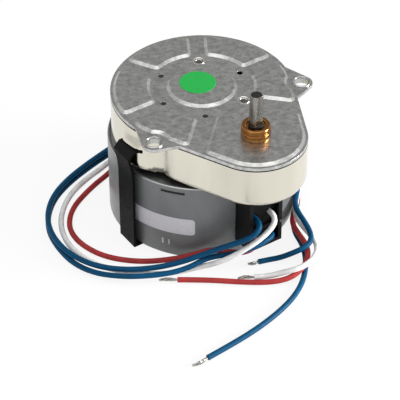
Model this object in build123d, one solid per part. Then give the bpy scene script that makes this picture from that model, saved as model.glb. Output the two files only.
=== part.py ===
"""Synchronous motor with a flat pear-shaped gearbox, two holding straps and four free leads."""
import math
import os

from build123d import *

os.makedirs("parts", exist_ok=True)

# Gear train, millimetres
MODULE = 0.6
PRESSURE_ANGLE = math.radians(25)
PINION_TEETH = 10
WHEEL_TEETH = 36
LAST_PINION_TEETH = 16
OUTPUT_TEETH = 42
ADDENDUM = 0.8
DEDENDUM = 1.15
BACKLASH = 0.12
WHEEL_T = 1.3
LEVEL_PITCH = 2.6
AXLE_R = 0.8
RUN_FIT = 0.05
HUB_R = 1.75
END_PLAY = 0.15

# Gearbox shell
WALL = 1.2
FLOOR_T = 1.2
SIDE_ROOM = 1.22
FLOOR_ROOM = 0.7
HEAD_ROOM = 2.7
COVER_T = 1.0
PANEL_H = 0.7
PANEL_SLOPE = 0.9
PANEL_INSET = 0.8
PANEL_CORNER = 1.6
SPOKE_HALF = 2.2
SPOKE_DROP = 0.65
CHANNEL_HALF = 2.55
CHANNEL_TURN = 225.0
CHANNEL_OFFSET = 4.3
DISC_R = 10.6
DISC_CENTRE = (0.4, 0.65)
PANEL_IN_R = 15.6
LUG_SPACING = 52.8
LUG_HOLE_R = 2.15
EYELET_T = 0.35
EYELET_LIP = 0.35
EYELET_LIP_H = 0.45
EYELET_DROP = 0.8
EAR_R = 3.4
EAR_RISE = -11.0
EAR_LOW_Y = -19.6
LUG_ROOM_R = 4.0
LUG_NOTCH_R = 4.4
POST_R = 1.6
POST_TIP_R = 1.25
FOOT_CHAMFER = 1.2

# Output
SHAFT_R = 2.0
JOURNAL_R = 2.25
SHAFT_OUT = 14.1
TIP_CHAMFER = 0.35
FLAT_DEPTH = 0.5
BUSH_R = 4.4
BUSH_H = 3.7
BUSH_SHANK_R = 3.4
BUSH_LOW = 1.2
LOWER_BUSH_R = 3.6
LOWER_BUSH_H = 3.4
OUTPUT_LEVEL = 3
OUTPUT_HUB_WALL = 2.0
OUTPUT_HUB_DROP = 1.2
OUTPUT_HUB_RISE = 0.6
COLLAR_WALL = 1.0

# Motor
CAN_OVERHANG = 1.3
CAN_H = 26.9
CAN_WALL = 0.8
CAN_FLOOR = 1.6
SEAT_GAP = 1.1
PLATE_T = 0.8
PLATE_DROP = 2.55
PLATE_RIM_W = 4.0
PLATE_RIM_DROP = 0.2
SEAT_R = 12.0
ROTOR_SHAFT_R = 1.0
BEARING_R = 3.0
MAGNET_R = 13.0
MAGNET_IN_R = 8.0
AIR_GAP = 0.5
POLE_T = 0.8
POLE_COUNT = 6
CLAW_W = 4.8
COIL_SIDES = 30
CLAW_TIP_GAP = 1.0
BOBBIN_T = 0.8
MAGNET_ROOM = 2.6
TAB_TURNS = (-141.5, -21.5, 98.5)
TAB_HALF = 3.5
TAB_ROOM = 0.2
MARK_TURNS = (-148.2, -144.2)
MARK_Z = 4.0
MARK_H = 2.2
MARK_HALF = 0.3
MARK_DEPTH = 0.15
HUB_CORE_R = 3.2
HUB_RIM = 1.6
HUB_WEB_HALF = 2.0
HUB_PROUD = 0.4

# Straps, terminal block, label and leads
STRAP_T = 0.8
STRAP_W = 8.2
STRAP_Y = 4.25
STRAP_LEAN = 1.3
STRAP_CREST = 6.0
STRAP_TOP = 7.6
STRAP_GAP = 0.7
HOOK_LENGTH = 3.4
BLOCK_W = 11.8
BLOCK_X = -0.9
BLOCK_OUT = 6.6
BLOCK_GAP = 1.6
BLOCK_H = 20.2
ENTRY_PITCH_X = 5.6
ENTRY_PITCH_Z = 7.8
ENTRY_R = 1.25
LABEL_T = 0.15
LABEL_Z = 9.2
LABEL_H = 6.0
STICKER_R = 5.5
STICKER_T = 0.12
STICKER_Y = 2.3
LEAD_R = 0.85
LEAD_SIDES = 6
ENTRY_DEPTH = 4.2
ENTRY_STRAIGHT = 2.6
ROUTE_CAN_R = 28.8
END_R = 0.55
END_LENGTH = 5.5

# Sizes that follow from those above
STAGE = MODULE * (PINION_TEETH + WHEEL_TEETH) / 2
LAST_STAGE = MODULE * (LAST_PINION_TEETH + OUTPUT_TEETH) / 2
WHEEL_OUT_R = MODULE * (WHEEL_TEETH / 2 + ADDENDUM)
PINION_OUT_R = MODULE * (PINION_TEETH / 2 + ADDENDUM)
OUTPUT_OUT_R = MODULE * (OUTPUT_TEETH / 2 + ADDENDUM)
OUTPUT_Y = -STAGE * math.sin(math.pi / 3) - math.sqrt(LAST_STAGE**2 - STAGE**2 / 4)
MAIN_R = STAGE + WHEEL_OUT_R + SIDE_ROOM + WALL
LOBE_R = OUTPUT_OUT_R + SIDE_ROOM - 0.2 + WALL
CAN_R = MAIN_R + CAN_OVERHANG
HOUSING_Z = CAN_H + SEAT_GAP
TRAIN_Z = HOUSING_Z + FLOOR_T + FLOOR_ROOM
HOUSING_H = FLOOR_T + FLOOR_ROOM + OUTPUT_LEVEL * LEVEL_PITCH + WHEEL_T + HEAD_ROOM
COVER_Z = HOUSING_Z + HOUSING_H
COVER_TOP = COVER_Z + COVER_T
PANEL_TOP = COVER_TOP + PANEL_H
LUG_X = LUG_SPACING / 2
LUG_Y = OUTPUT_Y * 0.512
EYELET_R = LUG_HOLE_R + EYELET_T
PLATE_Z = CAN_H - PLATE_DROP
CAN_IN_R = CAN_R - CAN_WALL
CLAW_R = MAGNET_R + AIR_GAP
STACK_H = PLATE_Z - CAN_FLOOR
UNIT_H = (STACK_H - 3 * POLE_T) / 2
BOBBIN_IN_R = CLAW_R + POLE_T + 0.35
BOBBIN_OUT_R = CAN_IN_R - 0.8
CORE_R = BOBBIN_IN_R + BOBBIN_T
MAGNET_LOW = CAN_FLOOR + MAGNET_ROOM
MAGNET_HIGH = PLATE_Z - MAGNET_ROOM
ROTOR_TOP = TRAIN_Z + WHEEL_T + 0.5
SHAFT_TOP = PANEL_TOP + SHAFT_OUT
BUSH_TOP = PANEL_TOP + BUSH_H
JOURNAL_TOP = BUSH_TOP + 0.1
STRAP_X = CAN_R + STRAP_GAP
SLOT_LOW = HOUSING_Z + STRAP_TOP
SLOT_HIGH = SLOT_LOW + STRAP_T + 0.4
BLOCK_Y = -CAN_R - BLOCK_OUT
BLOCK_Z = HOUSING_Z - BLOCK_GAP - BLOCK_H


def axle_at(degrees):
    """Centre of the axle at this bearing on the pitch hexagon."""
    turn = math.radians(degrees)
    return STAGE * math.cos(turn), STAGE * math.sin(turn)


CENTRE = (0.0, 0.0)
FIRST_AXLE = axle_at(120)
SECOND_AXLE = axle_at(180)
THIRD_AXLE = axle_at(240)
SPARE_AXLE = axle_at(0)
POSTS = (axle_at(60), axle_at(300))
OUTPUT = (0.0, OUTPUT_Y)


def level(step):
    """Height of the underside of the wheel on this level of the train."""
    return TRAIN_Z + step * LEVEL_PITCH


def rod(radius, low, high, centre=CENTRE):
    """Upright cylinder between two heights."""
    return Pos(centre[0], centre[1], low) * Cylinder(
        radius, high - low, align=(Align.CENTER, Align.CENTER, Align.MIN))


def tube(outer, inner, low, high, centre=CENTRE):
    """Upright tube between two heights."""
    return rod(outer, low, high, centre) - rod(inner, low, high, centre)


def block(x, y, z):
    """Box between pairs of limits on the three axes."""
    size = Box(x[1] - x[0], y[1] - y[0], z[1] - z[0], align=(Align.MIN, Align.MIN, Align.MIN))
    return Pos(x[0], y[0], z[0]) * size


def turned(points):
    """Solid of revolution about the motor axis from radius and height pairs."""
    outline = make_face(Polyline(*[(r, 0, z) for r, z in points], close=True))
    return revolve(outline, Axis.Z)


def save(name, *solids):
    """Write one node's solids to its file."""
    shape = solids[0] if len(solids) == 1 else Compound(children=list(solids))
    shape.label = name
    export_step(shape, f"parts/{name}.step")
    volume = sum(solid.volume for solid in solids)
    print(f"{name}: {len(solids)} piece(s), {volume:.2f} mm3")


# Gear teeth
def involute(angle):
    """Involute function of a pressure angle."""
    return math.tan(angle) - angle


def tooth_half_angle(teeth, radius):
    """Half the angle that a tooth takes up at a radius, with its share of the backlash."""
    pitch_r = MODULE * teeth / 2
    base_r = pitch_r * math.cos(PRESSURE_ANGLE)
    at_pitch = (math.pi * MODULE / 2 - BACKLASH / 2) / (2 * pitch_r)
    slope = math.acos(min(1.0, base_r / radius))
    return at_pitch + involute(PRESSURE_ANGLE) - involute(slope)


def flank_radii(teeth):
    """Radii at which a tooth's flank is drawn, from the root to the tip."""
    pitch_r = MODULE * teeth / 2
    base_r = pitch_r * math.cos(PRESSURE_ANGLE)
    root_r = pitch_r - DEDENDUM * MODULE
    tip_r = pitch_r + ADDENDUM * MODULE
    start_r = max(base_r, root_r)
    if root_r < base_r:
        return [root_r, start_r, pitch_r, tip_r]
    return [root_r, tip_r]


def gear_outline(teeth, phase):
    """Closed outline of a gear with a tooth centred on the phase angle."""
    base_r = MODULE * teeth / 2 * math.cos(PRESSURE_ANGLE)
    half = [(r, tooth_half_angle(teeth, max(r, base_r))) for r in flank_radii(teeth)]
    corners = []
    for tooth in range(teeth):
        middle = phase + tooth * 2 * math.pi / teeth
        for r, angle in half:
            corners.append((r * math.cos(middle - angle), r * math.sin(middle - angle)))
        for r, angle in reversed(half):
            corners.append((r * math.cos(middle + angle), r * math.sin(middle + angle)))
    return make_face(Polyline(*corners, close=True))


def gear(teeth, phase, centre, low, high):
    """Toothed disc between two heights."""
    return Pos(centre[0], centre[1], low) * extrude(gear_outline(teeth, phase), high - low)


def meshed_phase(driver, driver_teeth, driver_phase, driven, driven_teeth):
    """Phase that puts a tooth space of the driven gear over the driver's tooth."""
    line = math.atan2(driven[1] - driver[1], driven[0] - driver[0])
    ahead = (line - driver_phase) * driver_teeth / (2 * math.pi)
    return line + math.pi - (0.5 - ahead) * 2 * math.pi / driven_teeth


ROTOR_PHASE = 0.0
FIRST_PHASE = meshed_phase(CENTRE, PINION_TEETH, ROTOR_PHASE, FIRST_AXLE, WHEEL_TEETH)
SECOND_PHASE = meshed_phase(FIRST_AXLE, PINION_TEETH, FIRST_PHASE, SECOND_AXLE, WHEEL_TEETH)
THIRD_PHASE = meshed_phase(SECOND_AXLE, PINION_TEETH, SECOND_PHASE, THIRD_AXLE, WHEEL_TEETH)
OUTPUT_PHASE = meshed_phase(THIRD_AXLE, LAST_PINION_TEETH, THIRD_PHASE, OUTPUT, OUTPUT_TEETH)


def compound_wheel(step, centre, phase, pinion_teeth):
    """Wheel with the next stage's pinion above it on one hub."""
    low = level(step)
    top = low + WHEEL_T
    wheel = gear(WHEEL_TEETH, phase, centre, low, top)
    pinion = gear(pinion_teeth, phase, centre, top, level(step + 1) + WHEEL_T + 0.3)
    hub = rod(HUB_R, HOUSING_Z + FLOOR_T + END_PLAY, COVER_Z - END_PLAY, centre)
    bore = rod(AXLE_R + RUN_FIT, HOUSING_Z, COVER_TOP, centre)
    return wheel + pinion + hub - bore


# Gearbox outline
def flank_normal():
    """Outward direction of the straight side on the right of the pear outline."""
    lean = math.asin((MAIN_R - LOBE_R) / -OUTPUT_Y)
    return math.cos(lean), -math.sin(lean)


def pear(grow):
    """Outline round the motor and the output, moved outwards by an amount."""
    big = MAIN_R + grow
    small = LOBE_R + grow
    nx, ny = flank_normal()
    upper = (big * nx, big * ny)
    lower = (small * nx, OUTPUT_Y + small * ny)
    upper_left = (-upper[0], upper[1])
    lower_left = (-lower[0], lower[1])
    edges = [
        ThreePointArc(upper, (0, big), upper_left),
        Line(upper_left, lower_left),
        ThreePointArc(lower_left, (0, OUTPUT_Y - small), lower),
        Line(lower, upper),
    ]
    return make_face(edges)


def tangent_point(point, centre, radius, side):
    """Where the line from a point touches a circle on one side."""
    dx, dy = point[0] - centre[0], point[1] - centre[1]
    turn = math.atan2(dy, dx) + side * math.acos(radius / math.hypot(dx, dy))
    return centre[0] + radius * math.cos(turn), centre[1] + radius * math.sin(turn)


def ear():
    """Fixing ear on the right, from the shell's side out round the lug."""
    lug = (LUG_X, LUG_Y)
    rise = math.radians(EAR_RISE)
    high = (MAIN_R * math.cos(rise), MAIN_R * math.sin(rise))
    nx, ny = flank_normal()
    low = ((MAIN_R - ny * EAR_LOW_Y) / nx, EAR_LOW_Y)
    inner = (LUG_X * 0.75, LUG_Y * 0.9)
    sheet = make_face(Polyline(
        high, tangent_point(high, lug, EAR_R, -1), lug,
        tangent_point(low, lug, EAR_R, 1), low, inner, close=True))
    return sheet + Pos(*lug) * Circle(EAR_R)


def both_sides(shape):
    """A shape and its mirror image across the motor's middle plane."""
    return shape + mirror(shape, Plane.YZ)


def lug_holes(radius, low, high):
    """Rods at the two fixing lugs."""
    return [rod(radius, low, high, (side * LUG_X, LUG_Y)) for side in (-1, 1)]


# Cover
def band(degrees, half, offset=0.0):
    """Flat channel that runs outwards at a bearing, moved sideways by an offset."""
    strip = Pos(MAIN_R + 6, 0) * Rectangle(2 * MAIN_R, 2 * half)
    return Rot(0, 0, degrees) * Pos(0, offset) * strip


def panel_faces():
    """Outlines of the raised panels round the cover's middle."""
    field = pear(-PANEL_INSET) - Pos(*DISC_CENTRE) * Circle(PANEL_IN_R)
    field -= band(0, SPOKE_HALF, -SPOKE_DROP)
    field -= band(60, SPOKE_HALF)
    field -= band(120, SPOKE_HALF)
    field -= band(180, SPOKE_HALF, SPOKE_DROP)
    field -= band(CHANNEL_TURN, CHANNEL_HALF, CHANNEL_OFFSET)
    field -= band(180 - CHANNEL_TURN, CHANNEL_HALF, -CHANNEL_OFFSET)
    for side in (-1, 1):
        field -= Pos(side * LUG_X, LUG_Y) * Circle(LUG_NOTCH_R)
    return [face.fillet_2d(PANEL_CORNER, face.vertices()) for face in field.faces()]


def raised(face):
    """Panel pressed up out of the cover with sloping sides."""
    panel = Pos(0, 0, COVER_TOP) * extrude(face, PANEL_H, dir=(0, 0, 1))
    top = panel.faces().sort_by(Axis.Z)[-1]
    return chamfer(top.edges(), PANEL_SLOPE, 0.9 * PANEL_H, reference=top)


def cover():
    """Pressed cover with ears, raised panels and the axle holes."""
    outline = pear(0) + both_sides(ear())
    shape = Pos(0, 0, COVER_Z) * extrude(outline, COVER_T)
    shape += raised(Pos(*DISC_CENTRE) * Circle(DISC_R))
    for face in panel_faces():
        shape += raised(face)
    for centre in (FIRST_AXLE, SECOND_AXLE, THIRD_AXLE, SPARE_AXLE):
        shape -= rod(AXLE_R + 0.1, COVER_Z, PANEL_TOP, centre)
    for centre in POSTS:
        shape -= rod(POST_TIP_R, COVER_Z, PANEL_TOP, centre)
    shape -= rod(BUSH_SHANK_R, COVER_Z, PANEL_TOP, OUTPUT)
    for hole in lug_holes(EYELET_R, COVER_Z, PANEL_TOP):
        shape -= hole
    return shape


def cover_post(centre):
    """Riveted post between the floor and the cover, dimpled on top."""
    post = rod(POST_R, HOUSING_Z + FLOOR_T, COVER_Z, centre)
    tip = rod(POST_TIP_R, COVER_Z, COVER_TOP + 0.2, centre)
    dimple = Pos(centre[0], centre[1], COVER_TOP + 0.2) * Cone(
        0.0, POST_TIP_R - 0.3, 0.7, align=(Align.CENTER, Align.CENTER, Align.MAX))
    return post + tip - dimple


def eyelet(side):
    """Short rolled tube through an ear, with its lip on top."""
    centre = (side * LUG_X, LUG_Y)
    body = tube(EYELET_R, LUG_HOLE_R, COVER_Z - EYELET_DROP, COVER_TOP, centre)
    lip = tube(EYELET_R + EYELET_LIP, LUG_HOLE_R, COVER_TOP, COVER_TOP + EYELET_LIP_H, centre)
    return body + lip


# Housing
def housing():
    """Drawn shell, hollowed at the lugs, with axle seats and the slots that the straps hook into."""
    body = Pos(0, 0, HOUSING_Z) * extrude(pear(0), HOUSING_H)
    body = chamfer(body.faces().sort_by(Axis.Z)[0].edges(), FOOT_CHAMFER)
    inside = pear(-WALL)
    for side in (-1, 1):
        inside -= Pos(side * LUG_X, LUG_Y) * Circle(LUG_ROOM_R + WALL)
    body -= Pos(0, 0, HOUSING_Z + FLOOR_T) * extrude(inside, HOUSING_H - FLOOR_T)
    for room in lug_holes(LUG_ROOM_R, HOUSING_Z, COVER_Z):
        body -= room
    for centre in (FIRST_AXLE, SECOND_AXLE, THIRD_AXLE):
        body -= rod(AXLE_R, HOUSING_Z, COVER_Z, centre)
    body -= rod(PINION_OUT_R + 0.4, HOUSING_Z, COVER_Z)
    body -= rod(LOWER_BUSH_R, HOUSING_Z, COVER_Z, OUTPUT)
    reach = (CAN_IN_R - 4.0, CAN_R + 6.0)
    width = (STRAP_Y - STRAP_W / 2 - 0.3, STRAP_Y + STRAP_W / 2 + 0.3)
    slot = block(reach, width, (SLOT_LOW, SLOT_HIGH))
    return body - slot - Rot(0, 0, 180) * slot


def axle(centre):
    """Fixed axle from the floor into the cover."""
    return rod(AXLE_R, HOUSING_Z, COVER_TOP - 0.35, centre)


# Output shaft and its bearings
def output_bush():
    """Turned bush in the cover with a groove and a sunk mouth."""
    foot = PANEL_TOP
    top = BUSH_TOP
    low = COVER_Z - BUSH_LOW
    bore = JOURNAL_R + RUN_FIT
    profile = [
        (bore, low), (BUSH_SHANK_R, low), (BUSH_SHANK_R, foot), (BUSH_R, foot),
        (BUSH_R, foot + 0.58 * BUSH_H), (BUSH_R - 0.3, foot + 0.6 * BUSH_H),
        (BUSH_R - 0.3, foot + 0.66 * BUSH_H), (BUSH_R, foot + 0.68 * BUSH_H),
        (BUSH_R, top - 0.35), (BUSH_R - 0.35, top), (JOURNAL_R + 0.8, top),
        (JOURNAL_R + 0.5, top - 0.6), (bore, top - 0.6),
    ]
    return Pos(0, OUTPUT_Y, 0) * turned(profile)


def lower_bush():
    """Bush for the foot of the output shaft."""
    low = HOUSING_Z
    return tube(LOWER_BUSH_R, JOURNAL_R + RUN_FIT, low, low + LOWER_BUSH_H, OUTPUT)


def output_shaft():
    """Output shaft with a thicker journal, a chamfered tip and a flat down its free length."""
    end = rod(SHAFT_R, JOURNAL_TOP, SHAFT_TOP, OUTPUT)
    end = chamfer(end.faces().sort_by(Axis.Z)[-1].edges(), TIP_CHAMFER)
    flat = block(
        (-SHAFT_R, SHAFT_R), (OUTPUT_Y - SHAFT_R - 1, OUTPUT_Y - SHAFT_R + FLAT_DEPTH),
        (JOURNAL_TOP, SHAFT_TOP + 1))
    return end - flat + rod(JOURNAL_R, HOUSING_Z + 0.3, JOURNAL_TOP, OUTPUT)


def output_gear():
    """Last wheel of the train on its hub."""
    low = level(OUTPUT_LEVEL)
    high = low + WHEEL_T
    wheel = gear(OUTPUT_TEETH, OUTPUT_PHASE, OUTPUT, low, high)
    hub = rod(JOURNAL_R + OUTPUT_HUB_WALL, low - OUTPUT_HUB_DROP, high + OUTPUT_HUB_RISE, OUTPUT)
    return wheel + hub - rod(JOURNAL_R, HOUSING_Z, COVER_TOP, OUTPUT)


def output_collar():
    """Thrust collar between the output wheel and the bush."""
    low = level(OUTPUT_LEVEL) + WHEEL_T + OUTPUT_HUB_RISE
    return tube(JOURNAL_R + COLLAR_WALL, JOURNAL_R, low, COVER_Z - BUSH_LOW - END_PLAY, OUTPUT)


# Motor
def can():
    """Drawn can, open on top, with tab slots, strap seats and two punch marks."""
    body = turned([
        (0, 0), (CAN_R - 0.6, 0), (CAN_R, 0.6), (CAN_R, CAN_H - 0.25), (CAN_R - 0.25, CAN_H),
        (CAN_IN_R, CAN_H), (CAN_IN_R, CAN_FLOOR), (0, CAN_FLOOR)])
    half = TAB_HALF + TAB_ROOM
    for turn in TAB_TURNS:
        slot = block((CAN_IN_R - 1, CAN_R + 1), (-half, half), (PLATE_Z - 0.05, PLATE_Z + PLATE_T + 0.1))
        body -= Rot(0, 0, turn) * slot
    for turn in MARK_TURNS:
        mark = block((CAN_R - MARK_DEPTH, CAN_R + 1), (-MARK_HALF, MARK_HALF), (MARK_Z, MARK_Z + MARK_H))
        body -= Rot(0, 0, turn) * mark
    width = (STRAP_Y - STRAP_W / 2 - 0.2, STRAP_Y + STRAP_W / 2 + 0.2)
    seat = block((STRAP_X - HOOK_LENGTH - 0.2, CAN_R + 1), width, (-1, STRAP_T))
    return body - seat - Rot(0, 0, 180) * seat


def end_plate():
    """Plate that closes the can, with its tabs and the seat that carries the gearbox."""
    plate = rod(CAN_IN_R - 0.1, PLATE_Z, PLATE_Z + PLATE_T)
    for turn in TAB_TURNS:
        tab = block((CAN_IN_R - 3, CAN_R - 0.4), (-TAB_HALF, TAB_HALF), (PLATE_Z, PLATE_Z + PLATE_T))
        plate += Rot(0, 0, turn) * tab
    plate += tube(CAN_IN_R - 0.1, CAN_IN_R - PLATE_RIM_W, PLATE_Z, CAN_H - PLATE_RIM_DROP)
    plate += rod(SEAT_R, PLATE_Z + PLATE_T, HOUSING_Z)
    return plate - rod(BEARING_R, PLATE_Z, HOUSING_Z)


def claws(degrees, low, high):
    """Ring of pole claws between two heights."""
    width = (-CLAW_W / 2, CLAW_W / 2)
    finger = tube(CLAW_R + POLE_T, CLAW_R, low, high) & block((0, CLAW_R + 2), width, (low, high))
    turns = [degrees + step * 360 / POLE_COUNT for step in range(POLE_COUNT)]
    return [Rot(0, 0, turn) * finger for turn in turns]


def pole_plate(index):
    """Stator plate with claws that reach up, down or both ways."""
    low = CAN_FLOOR + index * (UNIT_H + POLE_T)
    high = low + POLE_T
    outer = CAN_IN_R - 0.1
    plate = tube(outer, CLAW_R, low, high)
    if index < 2:
        for claw in claws(0, high, high + UNIT_H - CLAW_TIP_GAP):
            plate += claw
    if index > 0:
        for claw in claws(180 / POLE_COUNT, low - UNIT_H + CLAW_TIP_GAP, low):
            plate += claw
    return plate


def flats_ring(outer, inner, low, high):
    """Ring with flat sides, as wound coils and their bobbins have."""
    face = RegularPolygon(outer, COIL_SIDES) - RegularPolygon(inner, COIL_SIDES)
    return Pos(0, 0, low) * extrude(face, high - low)


def unit_base(index):
    """Height of the space for one coil."""
    return CAN_FLOOR + POLE_T + index * (UNIT_H + POLE_T)


def bobbin(index):
    """Bobbin between two pole plates."""
    low = unit_base(index)
    high = low + UNIT_H
    foot = flats_ring(BOBBIN_OUT_R, BOBBIN_IN_R, low, low + BOBBIN_T)
    head = flats_ring(BOBBIN_OUT_R, BOBBIN_IN_R, high - BOBBIN_T, high)
    return foot + flats_ring(CORE_R, BOBBIN_IN_R, low, high) + head


def winding(index):
    """Coil wound on a bobbin."""
    low = unit_base(index) + BOBBIN_T
    return flats_ring(BOBBIN_OUT_R - 1.0, CORE_R, low, low + UNIT_H - 2 * BOBBIN_T)


def magnet():
    """Ring magnet of the rotor."""
    return tube(MAGNET_R, MAGNET_IN_R, MAGNET_LOW, MAGNET_HIGH)


def rotor_hub():
    """Moulded hub that carries the magnet on the shaft."""
    middle = (MAGNET_LOW + MAGNET_HIGH) / 2
    low = MAGNET_LOW - HUB_PROUD
    high = MAGNET_HIGH + HUB_PROUD
    rim = tube(MAGNET_IN_R, MAGNET_IN_R - HUB_RIM, MAGNET_LOW, MAGNET_HIGH)
    web = tube(MAGNET_IN_R - HUB_RIM, ROTOR_SHAFT_R, middle - HUB_WEB_HALF, middle + HUB_WEB_HALF)
    return rim + web + tube(HUB_CORE_R, ROTOR_SHAFT_R, low, high)


def rotor_shaft():
    """Thin rotor shaft from the can's floor into the gearbox."""
    return rod(ROTOR_SHAFT_R, CAN_FLOOR + 0.2, ROTOR_TOP)


def rotor_pinion():
    """Pinion on the end of the rotor shaft."""
    shape = gear(PINION_TEETH, ROTOR_PHASE, CENTRE, level(0) - 0.3, level(0) + WHEEL_T + 0.3)
    return shape - rod(ROTOR_SHAFT_R, CAN_FLOOR, COVER_Z)


def lower_bearing():
    """Rotor bearing on the can's floor."""
    return tube(BEARING_R, ROTOR_SHAFT_R + RUN_FIT, CAN_FLOOR, CAN_FLOOR + 1.9)


def upper_bearing():
    """Rotor bearing in the end plate."""
    return tube(BEARING_R, ROTOR_SHAFT_R + RUN_FIT, PLATE_Z, HOUSING_Z)


# Straps
def ribbon(points, thickness):
    """Outline of a bent strip that follows a line on its left side."""
    line = [Vector(x, 0, z) for x, z in points]
    other = []
    for i, point in enumerate(line):
        before = (point - line[i - 1]).normalized() if i else None
        after = (line[i + 1] - point).normalized() if i + 1 < len(line) else None
        first = before or after
        last = after or before
        normal = (Vector(-first.Z, 0, first.X) + Vector(-last.Z, 0, last.X)).normalized()
        spread = normal.X * -first.Z + normal.Z * first.X
        other.append(point + normal * (thickness / spread))
    return make_face(Polyline(*line, *reversed(other), close=True))


def strap():
    """Right-hand strap, hooked under the can and into the housing's slot."""
    x = STRAP_X
    bend = CAN_H - 1.0
    crest = HOUSING_Z + STRAP_CREST
    rise = crest - bend
    points = [
        (x - HOOK_LENGTH, STRAP_T), (x, STRAP_T), (x, bend), (x + 0.25 * STRAP_LEAN, bend + 0.45 * rise),
        (x + STRAP_LEAN, crest), (x - 0.1 * STRAP_LEAN, SLOT_LOW), (MAIN_R - WALL - 0.7, SLOT_LOW)]
    face = ribbon(list(reversed(points)), STRAP_T)
    return Pos(0, STRAP_Y + STRAP_W / 2, 0) * extrude(face, STRAP_W, dir=(0, -1, 0))


# Terminal block, label and sticker
def entry(column, row):
    """Place of a lead's way into the terminal block."""
    x = BLOCK_X + (column - 0.5) * ENTRY_PITCH_X
    z = BLOCK_Z + BLOCK_H * 0.34 + (row - 0.5) * ENTRY_PITCH_Z
    return x, z


def terminal_block():
    """Moulded block on the can's side with a sunk front and four ways in."""
    left = BLOCK_X - BLOCK_W / 2
    right = BLOCK_X + BLOCK_W / 2
    top = BLOCK_Z + BLOCK_H
    body = block((left, right), (BLOCK_Y, -CAN_R * 0.9), (BLOCK_Z, top))
    body -= rod(CAN_R, 0, HOUSING_Z)
    body -= block((left + 1.3, right - 1.3), (BLOCK_Y - 1, BLOCK_Y + 2.0), (BLOCK_Z + 1.3, top - 2.0))
    middle = entry(0, 0)[1] + ENTRY_PITCH_Z / 2
    shelf = block((left + 1.3, right - 1.3), (BLOCK_Y + 0.9, BLOCK_Y + 2.0), (middle - 0.5, middle + 0.5))
    body += shelf
    body -= block((right - 0.7, right + 1), (BLOCK_Y - 1, BLOCK_Y + 1.0), (middle - 0.8, middle + 0.8))
    for column in (0, 1):
        for row in (0, 1):
            x, z = entry(column, row)
            hole = Pos(x, BLOCK_Y + ENTRY_DEPTH, z) * Rot(90, 0, 0) * Cylinder(
                ENTRY_R, 6, align=(Align.CENTER, Align.CENTER, Align.MIN))
            body -= hole
    return body


def label():
    """Bare paper label round part of the can."""
    ring = tube(CAN_R + 0.02 + LABEL_T, CAN_R + 0.02, LABEL_Z, LABEL_Z + LABEL_H)
    spread = 2 * CAN_R
    start, end = math.radians(-174), math.radians(-128)
    wedge = make_face(Polyline(
        (0, 0), (spread * math.cos(start), spread * math.sin(start)),
        (spread * math.cos(end), spread * math.sin(end)), close=True))
    return ring & extrude(wedge, CAN_H)


def sticker():
    """Bare round sticker on the cover's middle disc."""
    return rod(STICKER_R, PANEL_TOP, PANEL_TOP + STICKER_T, (0.0, STICKER_Y))


# Leads
RED_ROUTE = [
    (-3.9, -36.2, 9.05), (-5.1, -37.4, 8.7), (-7.0, -37.0, 8.1), (-9.1, -34.5, 7.3), (-12.0, -30.6, 6.7),
    (-15.1, -26.9, 5.3), (-19.0, -24.3, 3.4), (-24.4, -20.6, 1.4), (-32.8, -15.9, 0.95), (-40.4, -8.2, 0.95),
    (-43.5, 0.6, 0.95), (-43.2, 8.0, 0.95), (-40.2, 13.6, 0.95), (-35.8, 17.8, 0.95), (-30.4, 20.8, 0.95),
    (-24.6, 23.4, 0.95), (-18.6, 25.4, 0.95), (-10.0, 29.4, 0.95), (0.5, 31.2, 1.3), (11.0, 29.8, 2.2),
    (20.6, 24.8, 2.95), (28.8, 17.2, 2.95), (32.8, 7.6, 2.95), (32.2, -2.4, 2.95), (28.2, -12.4, 2.95),
    (22.0, -21.0, 2.95), (15.8, -27.0, 2.95), (13.4, -32.6, 2.95), (12.1, -38.2, 2.95), (9.8, -43.0, 3.05),
    (5.4, -46.8, 3.1), (0.0, -47.4, 1.5), (-6.0, -44.9, 0.95), (-13.4, -39.6, 0.95), (-20.6, -33.6, 0.95),
    (-28.0, -28.6, 0.95)]
WHITE_ROUTE = [
    (1.7, -36.4, 16.6), (0.6, -38.0, 15.2), (-1.8, -38.4, 13.3), (-5.3, -37.6, 11.2), (-9.5, -36.4, 9.2),
    (-13.0, -34.2, 6.3), (-16.3, -31.3, 3.6), (-19.6, -28.5, 1.9), (-24.0, -26.4, 1.0), (-30.0, -24.2, 0.95),
    (-36.8, -19.7, 0.95), (-42.0, -13.6, 0.95), (-45.6, -6.9, 0.95), (-46.9, 0.2, 0.95), (-46.1, 7.0, 0.95),
    (-43.5, 13.4, 0.95), (-39.0, 19.2, 0.95), (-33.0, 23.9, 0.95), (-26.0, 27.0, 0.95), (-17.8, 29.2, 1.1),
    (-8.4, 32.4, 1.8), (1.6, 33.5, 3.2), (12.0, 31.8, 4.3), (21.8, 26.6, 4.95), (29.6, 18.2, 4.95),
    (33.2, 8.0, 4.95), (32.4, -2.4, 4.95), (28.5, -12.4, 4.95), (22.4, -21.2, 4.95), (17.2, -27.4, 4.9),
    (15.4, -33.2, 3.9), (15.2, -38.6, 3.2), (13.0, -43.2, 3.8), (8.6, -47.0, 4.6), (3.2, -48.0, 4.5),
    (-1.4, -45.0, 2.7), (-4.9, -42.4, 0.95), (-8.4, -40.4, 0.95)]
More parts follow.
